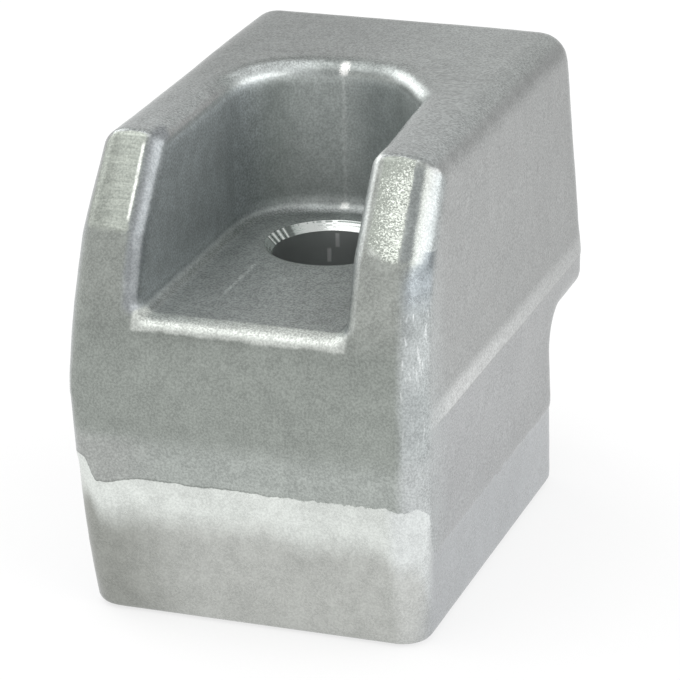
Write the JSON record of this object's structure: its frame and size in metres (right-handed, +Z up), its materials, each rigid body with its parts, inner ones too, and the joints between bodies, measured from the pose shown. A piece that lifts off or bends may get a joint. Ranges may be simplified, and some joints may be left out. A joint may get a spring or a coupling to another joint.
{
  "type": "sacrificial anode",
  "caption": "Cast block anode with a rounded front, a bolt pocket open at the top and the front, and an overhanging rear.",
  "frame": {"origin": "where the bolt hole's axis meets the flat bottom face", "axes": "+Z up along the bolt hole and out of the pocket, -Y towards the open front, X across the block"},
  "size_m": [0.0318, 0.0486, 0.0413],
  "materials": {
    "cast_metal": "as cast, satin, with ground facets"
  },
  "bodies": {
    "root": {"anode_block": "cast_metal"}
  },
  "joints": []
}
